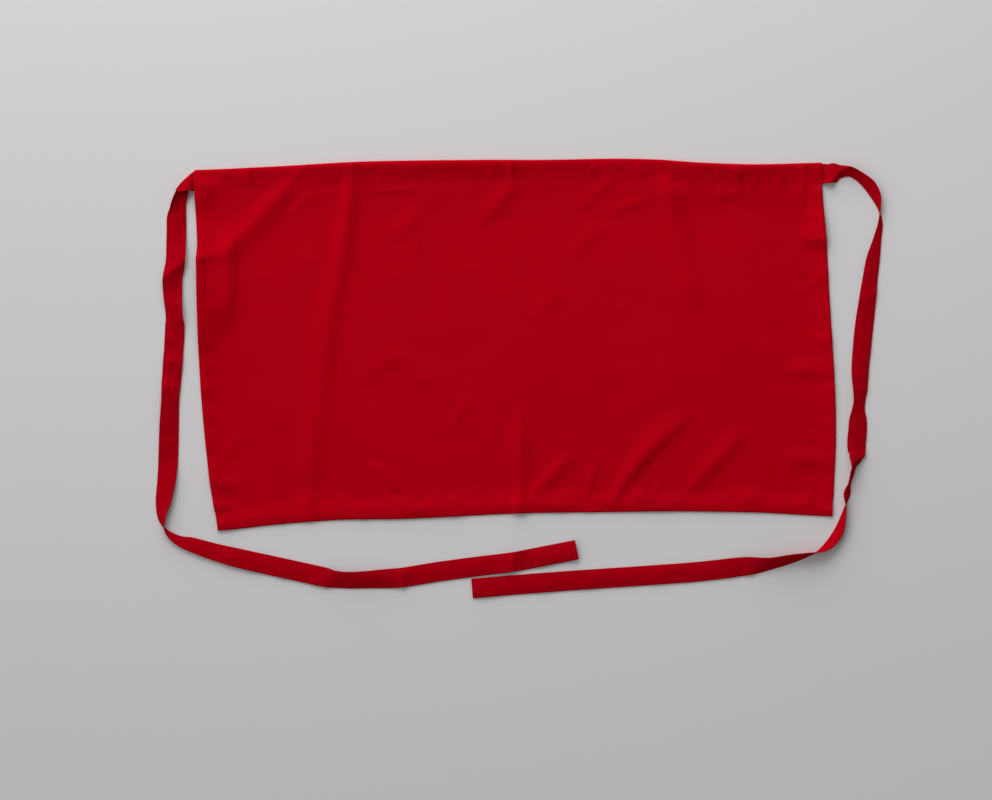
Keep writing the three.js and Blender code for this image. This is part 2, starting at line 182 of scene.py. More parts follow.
# Creases: points along each ridge in shares of the width and the drop, each with the ridge's rise and the
# widths of its flanks towards the top left and away from it, in millimetres
CREASES = (
    # Folded in four across: a crease at each quarter
    ((0.250, -0.007, 1, 7, 14), (0.249, 0.035, 1.6, 9, 15), (0.248, 0.068, 3, 13, 15),
     (0.244, 0.118, 4.4, 16, 15), (0.236, 0.193, 4.2, 17, 18), (0.227, 0.299, 3.2, 22, 18),
     (0.211, 0.410, 2.6, 24, 17), (0.200, 0.522, 2.2, 24, 17), (0.191, 0.620, 2, 22, 17),
     (0.182, 0.669, 1.8, 22, 18), (0.173, 0.758, 2, 22, 22), (0.163, 0.844, 1.5, 20, 22),
     (0.156, 0.902, 1, 16, 18), (0.152, 0.950, 1.2, 14, 17), (0.150, 1.005, 1.1, 14, 17)),
    ((0.445, 0.191, 0, 14, 14), (0.461, 0.160, 1.2, 16, 17), (0.483, 0.118, 2, 17, 18),
     (0.502, 0.082, 1.6, 13, 14), (0.509, 0.056, 0, 10, 12)),
    ((0.504, -0.006, 1.9, 5, 4.5), (0.505, 0.045, 1.7, 5, 5), (0.506, 0.076, 0, 5, 5)),
    ((0.499, 0.203, 0, 14, 14), (0.496, 0.288, 0.7, 14, 14), (0.493, 0.367, 0.7, 14, 14),
     (0.490, 0.424, 0, 14, 14)),
    ((0.503, 0.690, 0, 10, 12), (0.500, 0.747, 1.6, 15, 14), (0.498, 0.806, 3, 18, 17),
     (0.496, 0.871, 2.4, 16, 18), (0.494, 0.917, 1.7, 12, 16), (0.492, 0.956, 2.6, 12, 13),
     (0.490, 1.007, 3, 12, 12)),
    ((0.745, -0.000, 0.3, 14, 12), (0.748, 0.040, 0.9, 14, 14), (0.750, 0.062, 3, 15, 16),
     (0.754, 0.093, 4.2, 16, 22), (0.757, 0.126, 3.7, 18, 26), (0.762, 0.186, 2.6, 22, 26),
     (0.767, 0.245, 2, 26, 24), (0.775, 0.300, 1.8, 32, 19), (0.784, 0.366, 2, 38, 20),
     (0.793, 0.428, 0, 28, 16)),
    # Pulls from the top left corner to the side
    ((0.158, 0.043, 0, 8, 10), (0.152, 0.056, 1.9, 12, 15), (0.141, 0.075, 3.1, 17, 20),
     (0.105, 0.131, 3.6, 19, 24), (0.068, 0.194, 3, 19, 22), (0.043, 0.237, 1.6, 16, 18),
     (0.031, 0.260, 0.2, 12, 14)),
    ((0.029, 0.235, 0.4, 10, 8), (0.018, 0.242, 1.6, 15, 8), (0.007, 0.247, 1.8, 15, 8),
     (-0.001, 0.249, 1.6, 12, 8)),
    ((0.138, 0.150, 0, 8, 9), (0.158, 0.124, 0.6, 8, 9), (0.180, 0.096, 0.7, 8, 9),
     (0.190, 0.080, 0, 8, 8)),
    ((-0.008, 0.040, 3, 12, 34), (0.017, 0.042, 2.9, 12, 34), (0.037, 0.047, 1.2, 9, 32),
     (0.066, 0.053, 0, 9, 28)),
    # Gathers at the left end of the waistband
    ((0.049, -0.006, 1.4, 8, 9), (0.047, 0.028, 1.3, 8, 9), (0.045, 0.047, 0, 8, 8)),
    ((0.0854, -0.006, 1.9, 14, 8), (0.085, 0.035, 1.7, 14, 8), (0.0845, 0.056, 0, 12, 8)),
    # Small pulls below the waistband
    ((0.307, 0.220, 0, 14, 18), (0.322, 0.198, 1.3, 14, 18), (0.341, 0.165, 1.5, 13, 18),
     (0.355, 0.137, 0, 12, 14)),
    ((0.348, 0.182, 0, 10, 9), (0.350, 0.235, 0.9, 12, 9), (0.348, 0.286, 0, 10, 9)),
    ((0.272, 0.087, 0.1, 5, 6), (0.311, 0.083, 0.5, 5, 6), (0.349, 0.077, 0.45, 5, 6),
     (0.364, 0.073, 0, 5, 5)),
    ((0.365, 0.084, 0.4, 6, 8), (0.368, 0.118, 0.8, 7, 9), (0.372, 0.152, 0, 6, 8)),
    ((0.601, 0.148, 0, 7, 9), (0.620, 0.123, 0.9, 8, 9), (0.645, 0.087, 1.1, 8, 9),
     (0.662, 0.059, 0.6, 8, 9), (0.675, 0.040, 0, 8, 9)),
    ((0.650, 0.155, 0, 8, 10), (0.675, 0.139, 0.9, 8, 12), (0.700, 0.124, 1.2, 8, 13),
     (0.721, 0.109, 0.3, 8, 11)),
    ((0.585, 0.290, 0, 12, 14), (0.608, 0.245, 0.9, 13, 16), (0.634, 0.200, 0.8, 13, 14),
     (0.648, 0.178, 0, 12, 12)),
    ((0.524, 0.450, 0, 16, 14), (0.542, 0.428, 0.8, 18, 14), (0.562, 0.397, 0.8, 18, 14),
     (0.579, 0.369, 0, 16, 12)),
    ((0.815, 0.069, 0, 12, 16), (0.846, 0.087, 1, 14, 18), (0.874, 0.074, 0, 12, 16)),
    ((0.851, 0.121, 0, 16, 12), (0.878, 0.165, 0.8, 18, 13), (0.904, 0.217, 0.7, 18, 13),
     (0.921, 0.248, 0, 16, 12)),
    # Right side
    ((0.955, 0.212, 0, 24, 11), (0.976, 0.215, 3.4, 46, 13), (0.998, 0.218, 4.4, 54, 15),
     (1.010, 0.221, 4.2, 54, 15)),
    ((0.954, 0.491, 0, 9, 8), (0.973, 0.496, 0.7, 9, 8), (0.992, 0.501, 0.4, 9, 8)),
    ((0.921, 0.580, 0, 15, 14), (0.945, 0.585, 1.8, 17, 16), (0.967, 0.590, 1.7, 17, 16),
     (0.987, 0.592, 0.3, 15, 14)),
    ((0.915, 0.838, 0, 15, 13), (0.942, 0.839, 1.9, 17, 15), (0.968, 0.843, 1.8, 17, 15),
     (0.989, 0.844, 0.4, 15, 13)),
    # Left side
    ((0.002, 0.227, 0.4, 8, 12), (0.003, 0.260, 3, 8, 13), (0.003, 0.338, 2.8, 8, 13),
     (0.004, 0.394, 0.6, 8, 12), (0.004, 0.432, 0, 8, 12)),
    ((0.009, 0.822, 0.4, 12, 11), (0.023, 0.799, 0.8, 13, 12), (0.041, 0.774, 0.8, 13, 12),
     (0.060, 0.749, 0.4, 12, 11), (0.072, 0.731, 0, 12, 10)),
    ((0.005, 0.863, 2.6, 16, 15), (0.028, 0.875, 2.4, 16, 15), (0.048, 0.886, 0, 14, 12)),
    ((-0.004, 0.925, 2.4, 8, 16), (0.018, 0.935, 2, 8, 16), (0.034, 0.945, 0, 8, 12)),
    # An arch, and the fan above the bottom hem
    ((0.254, 0.632, 0, 16, 15), (0.267, 0.599, 0.8, 18, 15), (0.297, 0.552, 1, 18, 16),
     (0.324, 0.556, 1, 18, 16), (0.343, 0.597, 0.9, 16, 14), (0.356, 0.648, 0.8, 14, 12),
     (0.355, 0.704, 0, 12, 10)),
    ((0.427, 0.669, 0, 14, 9), (0.414, 0.697, 0.7, 14, 8), (0.396, 0.735, 0.7, 14, 8),
     (0.381, 0.776, 0, 14, 8)),
    ((0.251, 0.831, 0, 8, 11), (0.274, 0.862, 1.2, 8, 12), (0.293, 0.902, 1.2, 8, 12),
     (0.302, 0.928, 0, 8, 10)),
    ((0.580, 0.825, 0, 12, 15), (0.564, 0.859, 1.8, 12, 16), (0.542, 0.901, 2.4, 12, 15),
     (0.523, 0.934, 2, 11, 13), (0.512, 0.957, 0.8, 10, 11)),
    ((0.625, 0.829, 0, 7, 8), (0.614, 0.880, 1, 7, 9), (0.604, 0.928, 1.3, 7, 9),
     (0.598, 0.959, 0.8, 7, 8)),
    ((0.642, 0.966, 1, 13, 10), (0.654, 0.932, 2.4, 14, 11), (0.677, 0.881, 3.4, 17, 13),
     (0.704, 0.825, 3.6, 22, 14), (0.732, 0.780, 2.7, 26, 14), (0.758, 0.739, 1.2, 24, 13),
     (0.773, 0.716, 0, 20, 12)),
    ((0.733, 0.890, 0, 6, 6), (0.720, 0.922, 0.7, 6, 6), (0.706, 0.958, 0.5, 6, 6)),
    ((0.704, 0.901, 0, 5, 5), (0.692, 0.935, 0.6, 5, 5), (0.684, 0.961, 0.4, 5, 5)),
    ((0.766, 0.947, 0.51, 13, 11), (0.783, 0.909, 1.9, 16, 12), (0.807, 0.863, 2.4, 18, 13),
     (0.830, 0.819, 2, 22, 13), (0.851, 0.781, 0.94, 24, 12), (0.864, 0.755, 0, 20, 10)),
)
UP_LEFT = np.array((-0.61, 0.79))

# Something flat behind the panel lifts the cloth near the left hem in a low step. Its sides: the way out over
# the side on the flat cloth, how far that way the level part goes, and the width of the slope beyond
STEP_RISE = 5.5
STEP_SIDES = ((1, 0, 35, 15), (0, -1, -100, 46), (0.65, 0.76, 126, 42))

# Sections of the hems: how far in from the folded edge, and how far the upper layer stands over the lower
SIDE_SECTION = ((0, 0.9), (0.8, 1.4), (2, 1.7), (5, 1.5), (9, 1.05), (12, 0.7), (16, 0.25), (20, 0), (60, 0))
BOTTOM_SECTION = ((0, 0.9), (1.5, 1.4), (4, 1.85), (8, 2.1), (11, 2.0), (15, 1.45), (19, 0.8), (23, 0.25),
                  (27, 0), (60, 0))

# How far the waistband leans up off the table, in shares of its full lean, along the waist
BAND_LEAN = ((0, 0.5), (0.167, 1.0), (0.407, 1.5), (0.646, 0.7), (0.885, 1.3), (1, 0.5))


def bridge(start, end, enter, leave, share):
    """A smooth way from start to end that sets out at the slope enter and arrives at the slope leave"""
    rise = end - start
    bend = 3 * rise - 2 * enter - leave + share * (enter + leave - 2 * rise)
    return start + share * (enter + share * bend)


def between(values, place_in_row):
    """A smooth curve through evenly numbered values: place 2.5 is half way from the third to the fourth"""
    values = np.asarray(values, float)
    first = np.clip(np.floor(place_in_row).astype(int), 0, len(values) - 2)
    share = place_in_row - first
    before, start, end, after = (values[np.clip(first + k, 0, len(values) - 1)] for k in (-1, 0, 1, 2))
    return bridge(start, end, (end - before) / 2, (after - start) / 2, share)


def smooth(share):
    """Eases from 0 to 1"""
    share = np.clip(share, 0, 1)
    return share * share * (3 - 2 * share)


def curve(table, at):
    """A smooth curve through a table of places and values"""
    places, values = np.array(table).T
    return between(values, np.interp(at, places, np.arange(len(places))))


def lay(across, down):
    """The spot on the table of a point of the flat apron, given in shares of its width and its drop"""
    across, down = np.broadcast_arrays(np.asarray(across, float), np.asarray(down, float))
    a, d = across[..., None], down[..., None]
    spot = (1 - d) * ((1 - a) * TOP_LEFT + a * TOP_RIGHT) + d * ((1 - a) * BOTTOM_LEFT + a * BOTTOM_RIGHT)
    spot[..., 0] += across * curve(RIGHT_EDGE, down) - (1 - across) * curve(LEFT_EDGE, down)
    spot[..., 1] += (1 - down) * curve(TOP_EDGE, across) + down * curve(BOTTOM_EDGE, across)
    return spot


def crease_lift(spots, crease):
    """How far one crease lifts the cloth at each spot on the table"""
    steps = np.linspace(0, len(crease) - 1, 3 * len(crease) - 2)
    crease = np.stack([between(column, steps) for column in np.array(crease).T], axis=1)
    ridge = lay(crease[:, 0], crease[:, 1])
    nearest = np.full(spots.shape[:-1], np.inf)
    lift = np.zeros(spots.shape[:-1])
    for first in range(len(crease) - 1):
        run = ridge[first + 1] - ridge[first]
        share = np.clip(((spots - ridge[first]) @ run) / (run @ run), 0, 1)
        away = spots - (ridge[first] + share[..., None] * run)
        distance = np.linalg.norm(away, axis=-1)
        facing = np.array((-run[1], run[0])) / np.linalg.norm(run)
        facing = facing if facing @ UP_LEFT > 0 else -facing
        side = 0.5 + 0.5 * (away @ facing) / np.maximum(distance, 1e-6)
        start, end = crease[first:first + 2]
        rise, lit, shaded = (start[k] + share * (end[k] - start[k]) for k in (2, 3, 4))
        reach = np.clip(distance / (shaded + (lit - shaded) * side), 0, 1)
        closer = distance < nearest
        lift = np.where(closer, rise * (1 - reach ** 1.5) ** 2, lift)
        nearest = np.where(closer, distance, nearest)
    return lift


def puckers(along, inward, length, seed, pitch, rise, half, reach):
    """Gathers of a stitched seam: ridges and dips that run into the cloth from it and die away. The last four
    values are the ranges of their spacing, rise, half width and reach."""
    draw = np.random.default_rng(seed)
    lift = np.zeros(np.broadcast(along, inward).shape)
    middle = draw.uniform(*pitch)
    while middle < length:
        slanted = (along - middle - draw.uniform(-0.5, 0.5) * inward) / draw.uniform(*half)
        lift = lift + draw.uniform(*rise) * np.exp(-slanted ** 2 - (inward / draw.uniform(*reach)) ** 2)
        middle += draw.uniform(*pitch)
    return lift


def dents(along, inward, spread, seed, count, rise, half_along, half_inward):
    """Shallow dents and swellings scattered over cloth: spread is the length and depth of the area, and the
    last three values are the ranges of their rise and half sizes"""
    draw = np.random.default_rng(seed)
    lift = np.zeros(np.broadcast(along, inward).shape)
    for _ in range(count):
        away = ((along - draw.uniform(0, spread[0])) / draw.uniform(*half_along)) ** 2
        away = away + ((inward - draw.uniform(0, spread[1])) / draw.uniform(*half_inward)) ** 2
        lift = lift + draw.uniform(*rise) * np.exp(-away)
    return lift


def over_tie(size):
    """How far the sewn end of a tie lifts the cloth at either end of the waistband"""
    from_end = np.minimum(size, WAIST_WIDTH - size)
    return TIE_BULGE * smooth((TIE_BULGE_END - from_end) / TIE_BULGE_SLOPE)


def seam_line(size, inward):
    """Gathers of the waistband's seam, closest near its right end"""
    lift = puckers(size, inward, WAIST_WIDTH, seed=3, pitch=(9, 22), rise=(-0.28, 0.64), half=(3, 6),
                   reach=(8, 22))
    return lift + puckers(size - GATHERS_START, inward, GATHERS_LENGTH, seed=19, pitch=(6, 11),
                          rise=(-0.35, 1.4), half=(2.0, 3.4), reach=(10, 20))


def panel_base(size, drop):
    """Height of the panel's cloth over the table, without the thickness of its hems"""
    across, down = size / WAIST_WIDTH, drop / DROP
    spots = lay(across, down)
    left, right = size, WAIST_WIDTH - size
    from_band = drop - BAND_HEIGHT
    from_hem = DROP - BOTTOM_HEM - drop
    clear = smooth(from_band / SEAM_CLEAR)
    lift = sum(crease_lift(spots, crease) for crease in CREASES)
    # Slow waves in the cloth, 200 to 400 mm long and up to 0.7 mm high
    x, y = spots[..., 0], spots[..., 1]
    waves = np.sin(x / 47 + 1.3) * np.sin(y / 61 + 0.4) + 0.7 * np.sin(x / 29 - y / 41 + 2.1)
    lift = lift + 0.25 * (waves + 1.2) * clear
    # The low step near the left hem
    step = STEP_RISE
    for out_x, out_y, level, slope in STEP_SIDES:
        step = step * smooth(1 + (level - out_x * size - out_y * drop) / slope)
    lift = lift + step
    # Unevenness all over, and more of it on and beside the hems
    lift = lift + clear * dents(size, drop, (WAIST_WIDTH, DROP), seed=31, count=200, rise=(-0.3, 0.35),
                                half_along=(8, 24), half_inward=(8, 24))
    lift = lift + dents(size, DROP - drop, (WAIST_WIDTH, 26), seed=23, count=80, rise=(-1.0, 1.4),
                        half_along=(4, 10), half_inward=(4, 8))
    lift = lift + clear * dents(drop, left, (DROP, 24), seed=29, count=40, rise=(-0.4, 0.7),
                                half_along=(4, 9), half_inward=(4, 9))
    lift = lift + clear * dents(drop, right, (DROP, 30), seed=37, count=44, rise=(-0.4, 0.8),
                                half_along=(4, 9), half_inward=(4, 9))
    # Seams gather the cloth beside them, and the side edges stand a little off the table
    lift = lift + seam_line(size, np.abs(from_band))
    lift = lift + clear * puckers(size, from_hem, WAIST_WIDTH, seed=5, pitch=(16, 28), rise=(-0.8, 0.9),
                                  half=(5, 9), reach=(9, 20))
    lift = lift + clear * puckers(drop, left, DROP, seed=7, pitch=(22, 40), rise=(0.2, 1.0),
                                  half=(8, 13), reach=(16, 24))
    lift = lift + clear * puckers(drop, right, DROP, seed=11, pitch=(22, 40), rise=(0.2, 1.0),
                                  half=(8, 13), reach=(16, 26))
    # The top edge climbs to the waistband's seam
    climb = SEAM_RISE + SEAM_LEAN * curve(BAND_LEAN, across) + over_tie(size)
    climb = climb * (1 - np.clip(from_band / SEAM_FALL, 0, 1)) ** 2
    climb = climb - SEAM_TUCK * (1 - smooth((from_band - TUCK_START) / (TUCK_END - TUCK_START)))
    return PANEL_REST + np.maximum(lift + climb, 0)


def panel_top(size, drop):
    """Height of the panel's upper layer: puffed out over the hems, and pulled down along the stitching"""
    from_side = np.minimum(size, WAIST_WIDTH - size)
    from_bottom = DROP - drop
    from_band = drop - BAND_HEIGHT
    side_hem = curve(SIDE_SECTION, from_side) * smooth(from_band / HEM_FADE)
    hem = np.maximum(side_hem, curve(BOTTOM_SECTION, from_bottom))
    groove = np.exp(-((from_side - SIDE_STITCH) / GROOVE_HALF) ** 2) * smooth(from_band / GROOVE_FADE)
    groove = np.maximum(groove, np.exp(-((from_bottom - BOTTOM_STITCH) / GROOVE_HALF) ** 2))
    return panel_base(size, drop) + hem - GROOVE_DEPTH * groove


def turned(flat_size, edge):
    """Follows cloth over a fold at edge: its place on the folded piece, and its depth below the top layer"""
    beyond = np.maximum(flat_size - edge, 0)
    angle = np.minimum(beyond / TURN_RADIUS, math.pi)
    under = np.maximum(beyond - math.pi * TURN_RADIUS, 0)
    place_on_edge = edge + TURN_RADIUS * np.sin(angle) - under
    return np.where(flat_size > edge, place_on_edge, flat_size), TURN_RADIUS * (1 - np.cos(angle))


def spaced(stops):
    """Sizes from stop to stop, each stretch in even steps no longer than its own spacing: (stop, spacing)"""
    sizes = [stops[0][0]]
    for (start, _), (end, spacing) in zip(stops, stops[1:]):
        count = max(1, math.ceil((end - start) / spacing - 1e-6))
        sizes += [start + (end - start) * (k + 1) / count for k in range(count)]
    return np.array(sizes)


def new_piece(name, mesh):
    """A new object for a mesh, selected and active"""
    piece = bpy.data.objects.new(name, mesh)
    bpy.context.collection.objects.link(piece)
    bpy.ops.object.select_all(action="DESELECT")
    piece.select_set(True)
    bpy.context.view_layer.objects.active = piece
    return piece


def cloth_piece(name, points, flat, cells, thickness):
    """A sheet of cloth from a grid of points and their flat places, both in millimetres, closed all round"""
    number = np.arange(points.shape[0] * points.shape[1]).reshape(points.shape[:2])
    quads = np.stack((number[:-1, :-1], number[1:, :-1], number[1:, 1:], number[:-1, 1:]), axis=-1)[cells]
    used = np.unique(quads)
    renumbered = np.zeros(number.size, int)
    renumbered[used] = np.arange(len(used))
    quads = renumbered[quads]
    mesh = bpy.data.meshes.new(name)
    mesh.from_pydata((points.reshape(-1, 3)[used] * MM).tolist(), [], quads.tolist())
    cut = mesh.uv_layers.new(name="cut")
    cut.uv.foreach_set("vector", (flat.reshape(-1, 2)[used] * MM)[quads].ravel().astype(np.float32))
    piece = new_piece(name, mesh)
    wall = piece.modifiers.new("wall", "SOLIDIFY")
    wall.thickness = thickness * MM
    wall.offset = 0
    bpy.ops.object.modifier_apply(modifier=wall.name)
    bpy.ops.object.shade_smooth()
    return piece


def woven_poly_cotton(name, red):
    """Plain-woven, piece-dyed poly-cotton: matt, deep in colour, with a soft bloom of fibre ends at grazing
    angles, uneven threads and a slight cloudiness of the dye"""
    cloth = new_material(name)
    cut = add_node(cloth, "UVMap", uv_map="cut")
    # Threads lie 0.45 mm apart; they are drawn 1.3 mm apart, as coarse as the picture needs to hold them
    thread = 1.3 * MM
    turns = math.pi / thread
    angles = add_node(cloth, "VectorMath", {0: cut.outputs["UV"]}, {1: (turns, turns, 0)},
                      operation="MULTIPLY")
    split = add_node(cloth, "SeparateXYZ", {"Vector": angles.outputs["Vector"]})
    warp = add_node(cloth, "Math", {0: split.outputs["X"]}, operation="SINE")
    weft = add_node(cloth, "Math", {0: split.outputs["Y"]}, operation="SINE")
    crossing = add_node(cloth, "Math", {0: warp.outputs[0], 1: weft.outputs[0]}, operation="MULTIPLY")
    # Slubs: thicker runs of thread, some 30 mm long and one or two threads wide, both ways
    runs = []
    for scale in ((33.0, 450.0, 1.0), (450.0, 33.0, 1.0)):
        drawn_out = add_node(cloth, "Mapping", {"Vector": cut.outputs["UV"]}, {"Scale": scale})
        noise = add_node(cloth, "TexNoise", {"Vector": drawn_out.outputs["Vector"]},
                         {"Scale": 1.0, "Detail": 2.0})
        runs.append(noise.outputs["Fac"])
    slubs = add_node(cloth, "Math", {0: runs[0], 1: runs[1]}, operation="ADD")
    height = add_node(cloth, "Math", {0: crossing.outputs[0], 2: slubs.outputs[0]}, {1: 0.35},
                      operation="MULTIPLY_ADD")
    relief = add_node(cloth, "Bump", {"Height": height.outputs[0]}, {"Strength": 0.08, "Distance": 0.00025})
    # Dye: clouds some 60 mm across, and thread by thread
    clouds = add_node(cloth, "TexNoise", {"Vector": cut.outputs["UV"]}, {"Scale": 17.0, "Detail": 3.0})
    shade = add_node(cloth, "Math", {0: slubs.outputs[0], 1: clouds.outputs["Fac"]}, operation="ADD")
    share = add_node(cloth, "MapRange", {"Value": shade.outputs[0]},
                     {"From Min": 1.1, "From Max": 1.9, "To Min": 0.0, "To Max": 1.0})
    deep, pale = ([channel * factor for channel in linear(red)[:3]] + [1.0] for factor in (0.97, 1.03))
    dye = add_node(cloth, "Mix", {0: share.outputs["Result"]}, {6: deep, 7: pale}, data_type="RGBA")
    matt = add_node(cloth, "MapRange", {"Value": clouds.outputs["Fac"]},
                    {"From Min": 0.3, "From Max": 0.7, "To Min": 0.82, "To Max": 0.95})
    surface = add_node(cloth, "BsdfPrincipled",
                       {"Base Color": dye.outputs[2], "Roughness": matt.outputs["Result"],
                        "Normal": relief.outputs["Normal"]},
                       {"Specular IOR Level": 0.0, "Sheen Weight": 0.12, "Sheen Roughness": 0.5,
                        "Sheen Tint": linear("#E03040")})
    add_node(cloth, "OutputMaterial", {"Surface": surface.outputs["BSDF"]})
    return cloth


fold_length = math.pi * TURN_RADIUS
side_under = fold_length + SIDE_HEM - HEM_SHORT
bottom_under = fold_length + BOTTOM_HEM - HEM_SHORT
half_width = WAIST_WIDTH / 2
side_fold = half_width - TURN_RADIUS - CLOTH / 2
bottom_fold = DROP - TURN_RADIUS - CLOTH / 2
# Grid lines lie closer together at the folds, the stitching and the waistband's seam
from_middle = spaced(((0, 3.0), (half_width - SIDE_HEM - 12, 3.0), (half_width - SIDE_HEM - 4, 2.0),
                      (side_fold - 3, 1.1), (side_fold, 0.5), (side_fold + fold_length, 0.24),
                      (side_fold + side_under, 3.0)))
columns = np.concatenate((-from_middle[:0:-1], from_middle))
drops = spaced(((BAND_HEIGHT - SEAM_ALLOWANCE, 3.0), (BAND_HEIGHT + TUCK_START, 3.0),
                (BAND_HEIGHT + TUCK_END, 0.06), (BAND_HEIGHT + 0.28, 0.1), (BAND_HEIGHT + 0.9, 0.7),
                (BAND_HEIGHT + 12, 1.5), (DROP - BOTTOM_HEM - 10, 3.0), (DROP - BOTTOM_HEM - 3, 2.0),
                (DROP - BOTTOM_HEM + 5, 1.1), (bottom_fold - 4, 2.0), (bottom_fold, 0.7),
                (bottom_fold + fold_length, 0.24), (bottom_fold + bottom_under, 3.0)))
inset, side_fall = turned(np.abs(columns), side_fold)
sizes = half_width + np.sign(columns) * inset
lengths, bottom_fall = turned(drops, bottom_fold)
grid_size, grid_drop = np.meshgrid(sizes, lengths)
fall = np.maximum(side_fall[None, :], bottom_fall[:, None])
height = np.where(fall > 0, panel_base(grid_size, grid_drop) + 2 * TURN_RADIUS - fall,
                  panel_top(grid_size, grid_drop))
panel_points = np.concatenate((lay(grid_size / WAIST_WIDTH, grid_drop / DROP), height[..., None]), axis=-1)
panel_flat = np.stack(np.meshgrid(columns + side_fold + side_under, drops), axis=-1)
between_columns = (columns[1:] + columns[:-1]) / 2
between_drops = (drops[1:] + drops[:-1]) / 2
beside = np.abs(between_columns)[None, :]
down_to = between_drops[:, None]
# The side hems stop short of the corners, and the top edge is cut away where the ties lie in the waistband
on_side_hem = (beside > side_fold) & (down_to > BAND_HEIGHT + 1) & (down_to < DROP - BOTTOM_HEM - 1)
in_band = (down_to < BAND_HEIGHT) & (beside > half_width - TIE_INSERT - 2)
panel_cells = ((beside < side_fold) & ~in_band) | on_side_hem
panel = cloth_piece("panel_cloth", panel_points, panel_flat, panel_cells, CLOTH)
panel.data.materials.append(woven_poly_cotton("red_poly_cotton_plain_weave", PANEL_RED))
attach(panel, "root")
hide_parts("panel")

# Hem stitching
# Lockstitch in matching polyester thread, about three millimetres a stitch.
# It holds the hems down close to their inner edge, along both sides and the bottom.
STITCH = 3.0
STITCH_SHOWN = 2.2
THREAD_RADIUS = 0.17
THREAD_SIDES = 6
ROW_STEP = 1.5
THREAD_RED = "#B60114"


def stitch_row(points, normals):
    """Stitches along a line of points on the cloth: each dips in at both ends and stands up in the middle"""
    steps = np.linalg.norm(np.diff(points, axis=0), axis=1)
    along = np.concatenate(((0,), np.cumsum(steps)))
    places = np.arange(STITCH / 2, along[-1], STITCH)
    # Rings round the thread: where along the stitch, how far up, and how wide
    rings = np.array((-0.5, -0.3, 0.0, 0.3, 0.5)) * STITCH_SHOWN
    rises = np.array((-0.25, 0.02, 0.1, 0.02, -0.25))
    widths = np.array((0.35, 0.9, 1.0, 0.9, 0.35)) * THREAD_RADIUS
    spin = np.arange(THREAD_SIDES) * 2 * math.pi / THREAD_SIDES
    vertices, faces = [], []
    for spot in places:
        at = spot + rings
        middle = np.stack([np.interp(at, along, points[:, k]) for k in range(3)], axis=1)
        up = np.array([np.interp(spot, along, normals[:, k]) for k in range(3)])
        up /= np.linalg.norm(up)
        run = middle[-1] - middle[0]
        run /= np.linalg.norm(run)
        out = np.cross(run, up)
        first = len(vertices)
        for ring, rise, width in zip(middle, rises, widths):
            centre = ring + rise * up
            vertices += [centre + width * (math.cos(angle) * out + math.sin(angle) * up) for angle in spin]
        for ring in range(len(rings) - 1):
            start = first + THREAD_SIDES * ring
            onward = start + THREAD_SIDES
            for k in range(THREAD_SIDES):
                beside = (k + 1) % THREAD_SIDES
                faces.append((start + k, start + beside, onward + beside, onward + k))
        faces.append(tuple(first + k for k in reversed(range(THREAD_SIDES))))
        faces.append(tuple(onward + k for k in range(THREAD_SIDES)))
    return np.array(vertices), faces


def stitching(name, rows):
    """All the stitches of one piece, joined"""
    vertices, faces = [], []
    for row_vertices, row_faces in rows:
        faces += [tuple(k + len(vertices) for k in face) for face in row_faces]
        vertices += (row_vertices * MM).tolist()
    mesh = bpy.data.meshes.new(name)
    mesh.from_pydata(vertices, [], faces)
    piece = new_piece(name, mesh)
    bpy.ops.object.mode_set(mode="EDIT")
    bpy.ops.mesh.select_all(action="SELECT")
    bpy.ops.mesh.normals_make_consistent(inside=False)
    bpy.ops.object.mode_set(mode="OBJECT")
    bpy.ops.object.shade_smooth()
    return piece


# Spun polyester sewing thread: two plies twisted together, a little glossier than the cloth
polyester_thread = new_material("red_polyester_thread")
place_on_thread = add_node(polyester_thread, "TexCoord")
# Plies turn about every 0.8 mm; at scale 1 the wave repeats every 0.314
plies = add_node(polyester_thread, "TexWave", {"Vector": place_on_thread.outputs["Object"]},
                 {"Scale": 0.314 / (0.8 * MM), "Distortion": 1.0}, bands_direction="DIAGONAL")
ply_relief = add_node(polyester_thread, "Bump", {"Height": plies.outputs["Fac"]},
                      {"Strength": 0.4, "Distance": 0.0001})
# The thread is painted darker in the grooves between its plies, following the same wave as their relief:
# painted shade
ply_groove_shade_red, ply_light = linear("#AA0113"), linear(THREAD_RED)
ply_dye_and_groove_shade = add_node(polyester_thread, "Mix", {0: plies.outputs["Fac"]}, {6: ply_groove_shade_red, 7: ply_light},
                   data_type="RGBA")
thread_surface = add_node(polyester_thread, "BsdfPrincipled",
                          {"Base Color": ply_dye_and_groove_shade.outputs[2], "Normal": ply_relief.outputs["Normal"]},
                          {"Roughness": 0.6, "Specular IOR Level": 0.05})
add_node(polyester_thread, "OutputMaterial", {"Surface": thread_surface.outputs["BSDF"]})


def on_cloth(layer, size, drop):
    """Points on the upper face of a layer of cloth, and its facing there: layer gives its height"""
    def top(size, drop):
        height = layer(size, drop) + CLOTH / 2
        return np.concatenate((lay(size / WAIST_WIDTH, drop / DROP), height[..., None]), axis=-1)
    size, drop = np.broadcast_arrays(size, drop)
    here = top(size, drop)
    facing = np.cross(top(size + 1, drop) - here, top(size, drop - 1) - here)
    return here, facing / np.linalg.norm(facing, axis=-1, keepdims=True)


side_run = np.arange(BAND_HEIGHT + 2, DROP - 1, ROW_STEP)
width_run = np.arange(1.0, WAIST_WIDTH - 0.5, ROW_STEP)
panel_lines = ((SIDE_STITCH, side_run), (WAIST_WIDTH - SIDE_STITCH, side_run),
               (width_run, DROP - BOTTOM_STITCH))
panel_rows = [stitch_row(*on_cloth(panel_top, *line)) for line in panel_lines]
panel_stitches = stitching("panel_stitches", panel_rows)
panel_stitches.data.materials.append(polyester_thread)
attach(panel_stitches, "root")
